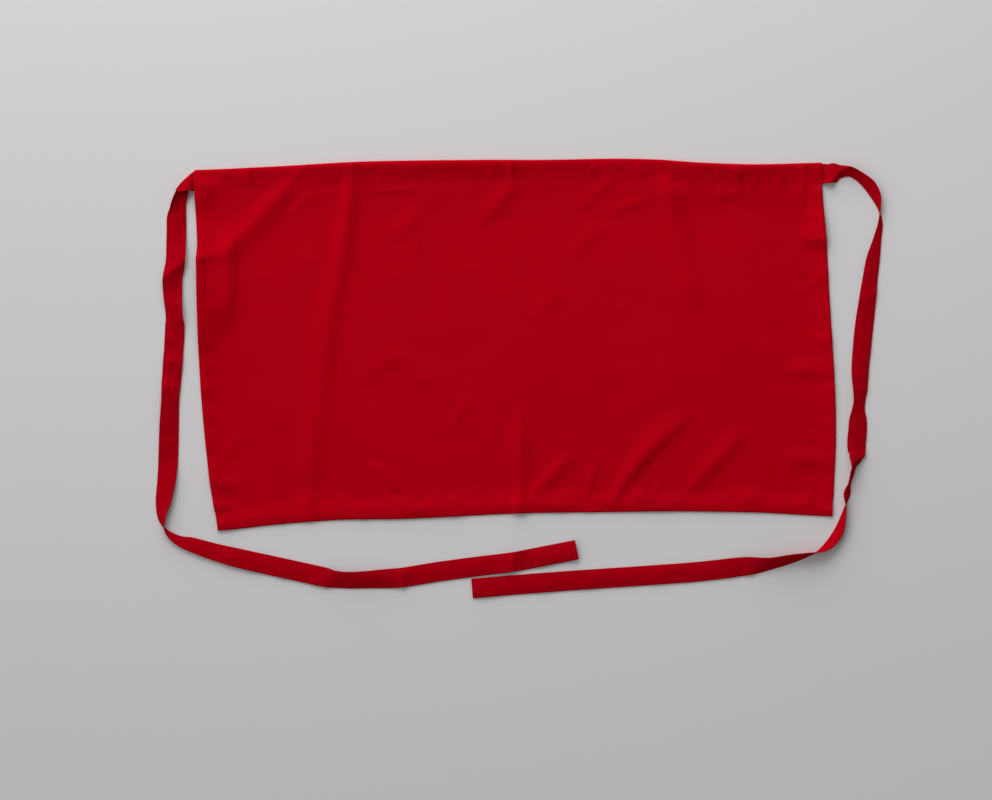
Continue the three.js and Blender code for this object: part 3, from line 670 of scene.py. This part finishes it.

# Waistband
# A straight strip of the same cloth, folded over the panel's top edge, its own edges turned in.
# The panel's edge and the sewn ends of the ties lie inside it, and one row of stitching goes through all.
# The band's red is the same cloth's red painted a little darker than the panel's: painted shade
BAND_RED_PAINTED_SHADE = "#B20114"
TURN_IN = 8.0
BAND_BACK = 0.25
BAND_FRONT = 2.2
TURN_IN_RADIUS = 0.22
TURN_REACH = 0.06
FOLD_REACH = 3.0
# Where its stitching lies, up from the seam and in from the ends, and how far it pulls the cloth down there
BAND_STITCH = 2.2
END_STITCH = 3.5
SEAM_PULL = 0.08
SEAM_PULL_HALF = 1.6
END_PULL = 0.35
END_PULL_HALF = 1.3
END_ROUND = 1.2

# How far the front layer stands up over its seam, from the top fold down to the seam, at its full lean
BAND_SECTION = ((0, 2.6), (3, 2.6), (7, 2.2), (12, 1.3), (17, 0.55), (20, 0.25), (23.5, 0))


def band_front(size, drop):
    """Height of the waistband's front layer: puckered at the seam, creased where the apron was folded"""
    up_from_seam = BAND_HEIGHT - drop
    from_end = np.minimum(size, WAIST_WIDTH - size)
    lean = curve(BAND_LEAN, size / WAIST_WIDTH)
    lift = BAND_FRONT + lean * (SEAM_LEAN + curve(BAND_SECTION, drop))
    lift = lift + over_tie(size) + seam_line(size, up_from_seam)
    lift = lift + dents(size, drop, (WAIST_WIDTH, 17), seed=17, count=90, rise=(-0.25, 1.1),
                        half_along=(2.5, 7), half_inward=(3.5, 7))
    spots = lay(size / WAIST_WIDTH, drop / DROP)
    lift = lift + sum(crease_lift(spots, crease) for crease in CREASES)
    # Stitching pulls it down along the seam and at both ends
    lift = lift - SEAM_PULL * np.exp(-((up_from_seam - BAND_STITCH) / SEAM_PULL_HALF) ** 2)
    lift = lift - END_PULL * np.exp(-((from_end - END_STITCH) / END_PULL_HALF) ** 2)
    return lift - END_PULL * smooth(1 - from_end / END_ROUND)


band_sizes = spaced(((0, 0.6), (6, 0.6), (WAIST_WIDTH - 6, 2.4), (WAIST_WIDTH, 0.6)))


def front_row(drop):
    """Heights of the front layer all along the waistband"""
    return band_front(band_sizes, np.full_like(band_sizes, drop))


# Rows of the mesh follow the strip round: inside the front, over its face, down the back and in again
inner_drops = spaced(((BAND_HEIGHT - TURN_IN, 2.0), (BAND_HEIGHT - CLOTH / 2 - TURN_REACH, 2.0)))
lowest_drop = inner_drops[-1]
face_drops = spaced(((FOLD_REACH, 1.5), (BAND_HEIGHT - 4.5, 2.2), (lowest_drop - 0.12, 1.0),
                     (lowest_drop, 0.12)))
back_drops = spaced(((FOLD_REACH, 3.0), (lowest_drop, 3.0)))
edge_turn = np.linspace(0, math.pi, 6)[1:-1]
top_turn = np.linspace(0, math.pi, 12)[1:-1]
turn_drops = [lowest_drop + TURN_REACH * math.sin(angle) for angle in edge_turn]
back = np.full_like(band_sizes, BAND_BACK)
fold_middle = (front_row(FOLD_REACH) + back) / 2
layers = [(drop, front_row(drop) - 2 * TURN_IN_RADIUS) for drop in inner_drops]
layers += [(drop, front_row(lowest_drop) - TURN_IN_RADIUS * (1 + math.cos(angle)))
           for drop, angle in zip(turn_drops, edge_turn)]
layers += [(drop, front_row(drop)) for drop in face_drops[::-1]]
layers += [(FOLD_REACH * (1 - math.sin(angle)), fold_middle + (fold_middle - back) * math.cos(angle))
           for angle in top_turn]
layers += [(drop, back) for drop in back_drops]
layers += [(drop, back + TURN_IN_RADIUS * (1 - math.cos(angle)))
           for drop, angle in zip(turn_drops, edge_turn)]
layers += [(drop, back + 2 * TURN_IN_RADIUS) for drop in inner_drops[::-1]]
band_points = np.array([np.column_stack((lay(band_sizes / WAIST_WIDTH, drop / DROP), height))
                        for drop, height in layers])
middle_column = band_points[:, len(band_sizes) // 2]
band_lengths = np.concatenate(((0,), np.cumsum(np.linalg.norm(np.diff(middle_column, axis=0), axis=1))))
band_flat = np.stack(np.meshgrid(band_sizes, band_lengths), axis=-1)
band_cells = np.ones((len(layers) - 1, len(band_sizes) - 1), bool)
waistband = cloth_piece("waistband_cloth", band_points, band_flat, band_cells, CLOTH)
# The band's material is the panel's cloth in a slightly darker red: painted shade
waistband.data.materials.append(woven_poly_cotton("red_poly_cotton_folded_band_painted_shade", BAND_RED_PAINTED_SHADE))
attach(waistband, "root")
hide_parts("waistband")

# One row along the seam, and one down each end that holds the tie
end_run = np.arange(2.5, BAND_HEIGHT - 2.5, ROW_STEP)
band_lines = ((width_run, BAND_HEIGHT - BAND_STITCH), (END_STITCH, end_run),
              (WAIST_WIDTH - END_STITCH, end_run))
band_rows = [stitch_row(*on_cloth(band_front, *line)) for line in band_lines]
band_stitches = stitching("waistband_stitches", band_rows)
band_stitches.data.materials.append(polyester_thread)
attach(band_stitches, "root")

# Ties
# Two long strips of the same cloth, folded into three layers and stitched along one edge, with hemmed ends.
# Each is sewn into an end of the waistband, turns over on its way and lies loose on the table.
# The ties' red is the same cloth's red painted darker than the panel's: painted shade
TIE_RED_PAINTED_SHADE = "#A80114"
TIE_WIDTH = 22.0
TIE_THICK = 1.0
TIE_SEAT = 0.9
TIE_ARCH = 0.9
TIE_FLAT_START = 3.0
TIE_BELOW_FOLD = 1.3
TIE_EASE = 0.03
TIE_DENT_PITCH = 13.0
# Its stitching: out from the middle, back from the end, and sunk into the face that it presses down
TIE_STITCH = 9.0
TIE_END_STITCHES = (3.5, 7.5)
END_ROW_HALF = 9.5
STITCH_SUNK = 0.1
TIE_PRESS = 0.12
TIE_PRESS_HALF = 0.8
EDGE_ROUND = 0.96
# A limp strip set on edge sinks in on itself to this share of its width, unless its route says otherwise
TIE_STAND = 0.6

# Routes, in millimetres and degrees: the middle of the strip on the table, its roll (the angle by which its
# left-hand edge, seen along the route, is turned up), the lift of its lower edge off the table and, where it
# slumps, the share to which it stands
LEFT_TIE = (
    # Comes out from under the fold at the corner, face down, and runs down the side over a sharp crease
    (-377.8, 208.2, 180, 0), (-381.3, 198.2, 180, 0), (-382.1, 187, 180, 0), (-381.8, 175.8, 180, 0),
    (-382, 154, 180, 0), (-382.8, 129, 180, 0), (-384.2, 121, 180, 0), (-385.8, 112, 184, 0),
    (-386, 98, 194, 0.5, 0.35), (-384.8, 79, 206, 0.5, 0.35), (-383.9, 66, 206, 0.5, 0.4),
    (-383.6, 56, 184, 0.5), (-385, 29, 178, 0), (-387, 0, 168, 0), (-388.6, -25, 154, 0),
    (-390, -58, 170, 0), (-391, -91, 180, 0),
    # Stands up on its outer edge and turns over in the bend
    (-393, -116, 198, 0), (-396, -136, 214, 0, 0.5), (-398, -150, 236, 0, 0.4), (-397.5, -159, 250, 0, 0.4),
    (-395, -167.5, 270, 0, 0.35), (-389, -175, 288, 0, 0.2), (-378, -182, 302, 0, 0.15),
    (-365, -186, 318, 0, 0.15), (-338, -194.5, 331, 0, 0.2), (-311, -201.5, 348, 0, 0.4),
    # Lies face up along the bottom, with soft creases
    (-266, -211.5, 358, 0), (-219, -221.8, 360, 0), (-206, -224.4, 386, 0), (-188, -225.6, 390, 0),
    (-165, -224.8, 384, 0), (-146, -223.8, 371, 0), (-131, -222.8, 360, 0), (-88, -216, 360, 0),
    (-43, -210, 360, 0), (-7, -205.5, 360, 0), (30, -198.5, 360, 0), (48, -195, 360, 0),
    (65, -191.5, 360, 3.0),
)
RIGHT_TIE = (
    # Comes out with its lower edge up, then turns over a slanting crease to stand on it round the corner
    (347, 228, -14, 1.0), (351.5, 228.9, 2, 0.5), (357.5, 230, 44, 0, 0.3), (369.5, 230, 61, 0, 0.4),
    (381, 224, 61, 0, 0.4), (392, 214, 54, 0, 0.4), (398.5, 203, 61, 0, 0.35), (401.5, 193, 78, 0, 0.3),
    (403, 185, 90, 0, 0.25),
    # Turns over and lies down along the panel's side
    (403.5, 172, 105, 0, 0.15), (400, 154, 116, 0, 0.15), (395.4, 132, 135, 0, 0.2), (392, 109, 142, 0, 0.2),
    (389.2, 87, 152, 0, 0.25), (385.2, 54, 162, 0, 0.3), (381.1, 9, 154, 0, 0.3), (381, -11, 140, 0, 0.3),
    (380.3, -25, 129, 0, 0.3), (379.1, -36, 134, 0, 0.3), (378.6, -47, 157, 0, 0.4), (378.2, -58, 165, 0),
    # Folds in, and stands on edge round the lower corner, leaning one way and then the other
    (377.1, -69, 165, 0), (377, -80.4, 158, 0), (377.2, -84.8, 150, 0), (376.1, -88.2, 136, 0),
    (375.2, -92.7, 126, 0), (374, -96.7, 112, 0), (373.2, -101.5, 103, 0, 0.5), (372.1, -106, 103, 0, 0.45),
    (368.9, -118, 99, 0, 0.4), (366.2, -129, 112, 0, 0.4), (364.6, -143, 90, 0, 0.4),
    (362, -155, 77, 0, 0.4), (357.5, -170, 64, 0, 0.4), (349.5, -182.5, 64, 0, 0.4), (341, -190, 74, 0, 0.5),
    (333, -194, 90, 0), (321, -197.5, 104, 0), (303, -202, 119, 0), (278.5, -207.5, 132, 0),
    # Lies face down along the bottom
    (249.5, -210.5, 166, 0.9), (202.5, -216, 180, 0), (135.5, -221, 180, 0), (68.5, -225.5, 180, 0),
    (1.5, -230.5, 180, 0), (-52, -235, 180, 0),
)
# Creases across the strips: the place on the route, how far the crease slants (along for each unit to the
# left), its rise, and its flanks before and after it
LEFT_TIE_CREASES = (
    (-377.4, 207.8, -0.1, 4.2, 3, 26), (-383, 120.5, -1.05, 6.2, 46, 32), (-384.8, 82, 0.57, 1.5, 20, 17),
    (-384.7, 20, 0.1, 1.3, 14, 13), (-388, -10, 0.1, 1.3, 13, 20), (-357, -187, -0.42, 0.8, 10, 8),
    (-217, -221, -0.33, 1.6, 12, 14), (-129.5, -223, 0.0, 2.2, 16, 7), (-7, -205.5, 0.42, 3.2, 26, 20),
)
RIGHT_TIE_CREASES = (
    (358, 228, 1.1, 3.0, 10, 11), (389.4, 90, -0.47, 1.3, 20, 28), (382.3, -12.3, 0, 1.2, 10, 8),
    (374.3, -94.5, -0.8, 2.4, 16, 5), (249.5, -211, 0.2, -0.9, 10, 12),
)

# The left tie's corner: the strip leaves the waistband with its lower edge raised, folds under along a
# slanting line, and settles on the table
FOLD_MIDDLE = (-371.9, 218.0)
FOLD_ROLL = 26
FOLD_SLANT = 1.12
FOLD_BULGE = 2.4
FOLD_RADIUS = 0.6
FOLD_SETTLE = 30.0
FOLD_REACH_BACK = 24.0


def route_curve(rows):
    """A smooth line through the rows' places: a point about every two millimetres, and its place"""
    rows = np.array([row[:2] for row in rows], float)
    spots = np.concatenate(((2 * rows[0] - rows[1])[None], rows, (2 * rows[-1] - rows[-2])[None]))
    points, numbers = [], []
    for first in range(len(rows) - 1):
        p0, p1, p2, p3 = spots[first:first + 4]
        g0, g1, g2 = (max(1e-4, math.dist(a, b)) ** 0.5 for a, b in ((p0, p1), (p1, p2), (p2, p3)))
        enter = g1 * ((p1 - p0) / g0 - (p2 - p0) / (g0 + g1) + (p2 - p1) / g1)
        leave = g1 * ((p2 - p1) / g1 - (p3 - p1) / (g1 + g2) + (p3 - p2) / g2)
        count = max(2, math.ceil(math.dist(p1, p2) / 2.0))
        last = first == len(rows) - 2
        for t in np.linspace(0, 1, count + 1)[:None if last else -1]:
            points.append(bridge(p1, p2, enter, leave, t))
            numbers.append(first + t)
    return np.array(points), np.array(numbers)


def strip(rows, creases, seed):
    """A strip along a route: the length up to each of its points, each one's place in the rows, and a
    function that gives any point of the strip by how far it is along, across to the left, and above the
    middle layer"""
    points, numbers = route_curve(rows)
    along = np.concatenate(((0,), np.cumsum(np.linalg.norm(np.diff(points, axis=0), axis=1))))
    runs = np.gradient(points, along, axis=0)
    runs /= np.linalg.norm(runs, axis=1, keepdims=True)
    rolls = np.radians(between([row[2] for row in rows], numbers))
    lifts = np.maximum(0, between([row[3] for row in rows], numbers))
    stands = between([row[4] if len(row) > 4 else TIE_STAND for row in rows], numbers)
    ridges = []
    for x, y, slant, *section in creases:
        nearest = np.argmin(np.hypot(points[:, 0] - x, points[:, 1] - y))
        ridges.append((along[nearest], slant * np.sign(np.cos(rolls[nearest])), *section))

    def place(at, across, above):
        at, across, above = np.broadcast_arrays(at, across, above)
        x, y, run_x, run_y, roll, lift, stand = (np.interp(at, along, values) for values in (
            points[:, 0], points[:, 1], runs[:, 0], runs[:, 1], rolls, lifts, stands))
        size = np.hypot(run_x, run_y)
        left_x, left_y = -run_y / size, run_x / size
        spread, rise = np.cos(roll), stand * np.sin(roll)
        upright = spread / np.hypot(spread, rise)
        sideways = -rise / np.hypot(spread, rise)
        lowest = TIE_WIDTH / 2 * np.hypot(rise, TIE_EASE) + TIE_THICK / 2 * np.abs(upright)
        height = lift + lowest
        for ridge, slant, crest, before, after in ridges:
            past = at - ridge - slant * across
            reach = np.clip(np.where(past < 0, -past / before, past / after), 0, 1)
            height = height + crest * (1 - reach) ** 2
        uneven = dents(at, across + TIE_WIDTH / 2, (along[-1], TIE_WIDTH), seed,
                       count=round(along[-1] / TIE_DENT_PITCH), rise=(-0.25, 1.4),
                       half_along=(5, 12), half_inward=(4, 9))
        height = height + np.abs(spread) * uneven
        height = np.maximum(height, lowest)
        above = above + TIE_ARCH * spread * (1 - (2 * across / TIE_WIDTH) ** 2)
        side = across * spread + above * sideways
        up = across * rise + above * upright
        return np.stack((x + left_x * side, y + left_y * side, height + up), axis=-1)

    return along, numbers, place


def sewn_rows(end, depths):
    """The strip's middle inside the waistband, at depths in from its end"""
    inward = 1 if end == 0 else -1
    middle_drop = (TIE_BELOW_FOLD + TIE_WIDTH / 2) / DROP
    return [(*lay(end + inward * depth / WAIST_WIDTH, middle_drop), 0, TIE_SEAT) for depth in depths]


# Left: the lead out of the waistband and the run down the side meet at the fold, at row 3 of the one and
# row 1 of the other
lead_rows = sewn_rows(0, (TIE_INSERT, 0))
lead_step = np.array(FOLD_MIDDLE) - np.array(lead_rows[1][:2])
for share in (0.7, 1.0, 2.0):
    lead_rows.append((*(np.array(lead_rows[1][:2]) + share * lead_step), FOLD_ROLL, TIE_SEAT, 1.0))
lead_along, lead_numbers, lead_place = strip(lead_rows, (), 47)
lead_fold = np.interp(3, lead_numbers, lead_along)
run_rows = [(*FOLD_MIDDLE, 180, 0)] + list(LEFT_TIE)
run_rows.insert(0, 2 * np.array(run_rows[0]) - np.array(run_rows[1]))
run_along, run_numbers, run_place = strip(run_rows, LEFT_TIE_CREASES, 41)
run_fold = np.interp(1, run_numbers, run_along)
both_edges = np.array((-TIE_WIDTH / 2, TIE_WIDTH / 2))
fold_ends = lead_place(lead_fold + FOLD_SLANT * both_edges, both_edges, 0)
fold_run = (fold_ends[1] - fold_ends[0])[:2]
FOLD_OUT = np.array((fold_run[1], -fold_run[0], 0)) / np.linalg.norm(fold_run)
FOLD_TURN = math.pi * FOLD_RADIUS


def fold_line(across):
    """How far along the strip the fold lies from its middle: it slants and bulges outwards a little"""
    return FOLD_SLANT * across + FOLD_BULGE * (1 - (2 * across / TIE_WIDTH) ** 2)


def left_place(at, across, above):
    """Any point of the left tie: on its lead, round the fold or on its run"""
    at, across, above = np.broadcast_arrays(at, across, above)
    line = lead_fold + fold_line(across)
    past = at - line
    edge = lead_place(line, across, 0)
    before = lead_place(np.minimum(at, line), across, above)
    angle = np.clip(past / FOLD_TURN, 0, 1) * math.pi
    turning = edge + FOLD_OUT * ((FOLD_RADIUS + above) * np.sin(angle))[..., None]
    turning[..., 2] += FOLD_RADIUS * (np.cos(angle) - 1) + above * np.cos(angle)
    settling = 1 - smooth((past - FOLD_TURN) / FOLD_SETTLE)
    start = run_place(line - lead_fold + run_fold, across, 0)
    start[..., 2] += 2 * FOLD_RADIUS
    after = run_place(at - lead_fold + run_fold, across, above) + (edge - start) * settling[..., None]
    return np.where((past <= 0)[..., None], before, np.where((past < FOLD_TURN)[..., None], turning, after))


fold_steps = lead_fold + np.linspace(0, FOLD_TURN, 7)
past_fold = (run_along - run_fold)[run_along > run_fold + FOLD_TURN + 0.5] + lead_fold
left_along = np.unique(np.concatenate((lead_along[lead_along < lead_fold - 0.5], fold_steps, past_fold)))
left_skews = 1 - smooth((np.abs(left_along - lead_fold) - 3) / FOLD_REACH_BACK)
right_rows = sewn_rows(1, (TIE_INSERT, 0, -TIE_FLAT_START)) + list(RIGHT_TIE)
right_along, _, right_place = strip(right_rows, RIGHT_TIE_CREASES, 43)


def tie_piece(name, along, skews, place):
    """The closed ribbon: rounded at its folded edges, pressed down along its stitching"""
    half = TIE_WIDTH / 2
    out = np.array((half, 10.85, 10.5, 9.9, TIE_STITCH, 8.0, 6.0, 3.0))
    across = np.concatenate((-out, (0.0,), out[::-1]))
    edge = np.clip((np.abs(across) - (half - TIE_THICK / 2)) / (TIE_THICK / 2), 0, 1)
    thick = TIE_THICK / 2 * np.sqrt(1 - EDGE_ROUND * edge ** 2)
    thick = thick - TIE_PRESS * np.exp(-((across - TIE_STITCH) / TIE_PRESS_HALF) ** 2)
    ring_across = np.concatenate((across, across[::-1]))
    ring_above = np.concatenate((-thick, thick[::-1]))
    ring_along = along[:, None] + skews[:, None] * fold_line(ring_across)[None, :]
    points = place(ring_along, ring_across[None, :], ring_above[None, :])
    count = len(ring_across)
    number = np.arange(points.shape[0] * count).reshape(points.shape[0], count)
    turned_on = np.roll(number, -1, axis=1)
    sides = np.stack((number[:-1], turned_on[:-1], turned_on[1:], number[1:]), axis=-1).reshape(-1, 4)
    mesh = bpy.data.meshes.new(name)
    last = number[-1, 0]
    caps = []
    for k in range(len(across) - 1):
        caps.append((k + 1, k, count - 1 - k, count - 2 - k))
        caps.append((last + k, last + k + 1, last + count - 2 - k, last + count - 1 - k))
    mesh.from_pydata((points.reshape(-1, 3) * MM).tolist(), [], sides.tolist() + caps)
    flat = np.stack(np.broadcast_arrays(ring_along, ring_across + half), axis=-1).reshape(-1, 2)
    corners = np.concatenate((sides.ravel(), np.array(caps).ravel()))
    cut = mesh.uv_layers.new(name="cut")
    cut.uv.foreach_set("vector", (flat[corners] * MM).ravel().astype(np.float32))
    piece = new_piece(name, mesh)
    bpy.ops.object.shade_smooth()
    return piece


# The ties' material is the panel's cloth in a darker red: painted shade
tie_cloth = woven_poly_cotton("red_poly_cotton_folded_strip_painted_shade", TIE_RED_PAINTED_SHADE)
ties = (("left", left_along, left_skews, left_place),
        ("right", right_along, np.zeros_like(right_along), right_place))
for side, along, skews, place in ties:
    tie = tie_piece("tie_" + side + "_cloth", along, skews, place)
    tie.data.materials.append(tie_cloth)
    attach(tie, "root")
    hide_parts("tie_" + side)
    # The row along the strip shows on both faces, and two short rows hold the turned end
    run = np.arange(TIE_INSERT + 1, along[-1] - 1, ROW_STEP)
    end_across = np.arange(-END_ROW_HALF, END_ROW_HALF + 0.1, ROW_STEP)
    lines = [(run, TIE_STITCH)] + [(along[-1] - back, end_across) for back in TIE_END_STITCHES]
    tie_rows = []
    for face in (1, -1):
        height = face * (TIE_THICK / 2 - STITCH_SUNK)
        for at, across in lines:
            here = place(at, across, height)
            facing = place(at, across, height + face) - here
            tie_rows.append(stitch_row(here, facing))
    tie_stitches = stitching("tie_" + side + "_stitches", tie_rows)
    tie_stitches.data.materials.append(polyester_thread)
    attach(tie_stitches, "root")
